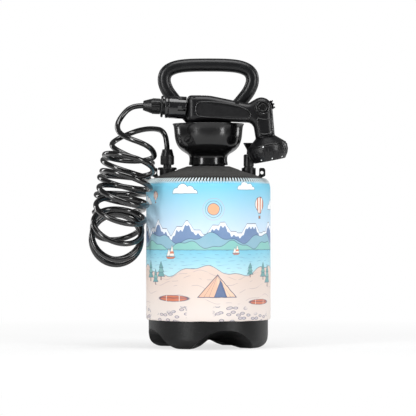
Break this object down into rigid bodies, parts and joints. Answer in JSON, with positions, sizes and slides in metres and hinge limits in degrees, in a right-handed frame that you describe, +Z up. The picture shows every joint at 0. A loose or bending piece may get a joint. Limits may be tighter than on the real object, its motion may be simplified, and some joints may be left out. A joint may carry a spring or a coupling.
{
  "type": "portable shower",
  "caption": "Pump-up pressure tank with a soft sleeve, filling funnel, coiled hose and a hand-held rose for washing outdoors.",
  "frame": {"origin": "on the tank's axis, at the level of the surface that its feet stand on", "axes": "+Z up along the tank's axis, -Y towards the front with the handset, +X towards the relief valve"},
  "size_m": [0.3128, 0.2153, 0.4497],
  "materials": {
    "tank_plastic": "satin blow-moulded plastic",
    "printed_sleeve": "printed stretch fabric",
    "black_fabric": "matte woven fabric",
    "gloss_black": "gloss",
    "satin_black": "satin",
    "handle_plastic": "satin",
    "handset_plastic": "satin",
    "grip_rubber": "soft matte",
    "connector_gloss": "gloss",
    "seal_rubber": "matte",
    "inner_plastic": "natural",
    "hose": "gloss",
    "steel": "bright"
  },
  "bodies": {
    "root": {"tank": "tank_plastic", "sleeve_wrap": "printed_sleeve", "sleeve_top_panel": "black_fabric", "funnel": "gloss_black", "pump_collar": "satin_black", "collar_seal": "seal_rubber", "pump_barrel": "inner_plastic", "foot_valve": "seal_rubber", "rod_guide": "satin_black", "outlet_fitting": "satin_black", "outlet_gasket": "seal_rubber", "hose_nut_tank": "satin_black", "dip_tube": "inner_plastic", "dip_filter": "inner_plastic", "relief_body": "satin_black", "relief_gasket": "seal_rubber", "hose_coil": "hose", "hose_lead_tank": "hose"},
    "pump": {"pump_handle": "handle_plastic", "pump_rod": "inner_plastic", "handle_pin": "steel", "piston": "inner_plastic", "piston_seal": "seal_rubber"},
    "relief": {"relief_knob": "satin_black", "relief_plug": "seal_rubber", "relief_spring": "steel"},
    "handset": {"grip_shell_front": "handset_plastic", "grip_shell_back": "handset_plastic", "grip_pad_front": "grip_rubber", "grip_pad_back": "grip_rubber", "shell_screws": "steel", "valve_housing": "inner_plastic", "water_tube": "inner_plastic", "rose_body": "handset_plastic", "rose_seal": "seal_rubber", "tail_nipple": "handset_plastic", "tail_seal": "seal_rubber", "connector_body": "satin_black", "connector_claws": "inner_plastic", "hose_collet": "inner_plastic", "hose_nut_gun": "satin_black", "hose_lead_gun": "hose"},
    "lever": {"control_lever": "satin_black", "valve_spool": "inner_plastic", "pivot_cap": "satin_black", "pivot_screw": "satin_black"},
    "dial": {"rose_dial": "handset_plastic", "rose_face": "satin_black"},
    "release": {"release_sleeve": "connector_gloss"}
  },
  "joints": [
    {"name": "pump_stroke", "type": "slide", "parent": "root", "child": "pump", "axis": [0, 0, 1], "range_m": [0, 0.18]},
    {"name": "relief_pull", "type": "slide", "parent": "root", "child": "relief", "axis": [0, 0, 1], "range_m": [0, 0.003], "stiffness_N_per_m": 400, "springref_m": -0.002, "deforming": ["relief_spring"]},
    {"name": "handset_lift", "type": "slide", "parent": "root", "child": "handset", "axis": [0, 0, 1], "range_m": [0, 0.06]},
    {"name": "lever_turn", "type": "hinge", "parent": "handset", "child": "lever", "pos_m": [0.0825, -0.032, 0.3703], "axis": [0, 1, 0], "range_deg": [-25, 0]},
    {"name": "dial_turn", "type": "hinge", "parent": "handset", "child": "dial", "pos_m": [0.0877, -0.032, 0.3282], "axis": [0.1908, 0, -0.9816], "continuous": true},
    {"name": "release_pull", "type": "slide", "parent": "handset", "child": "release", "axis": [-0.9984, 0, 0.0558], "range_m": [0, 0.002], "stiffness_N_per_m": 600, "springref_m": -0.002}
  ]
}
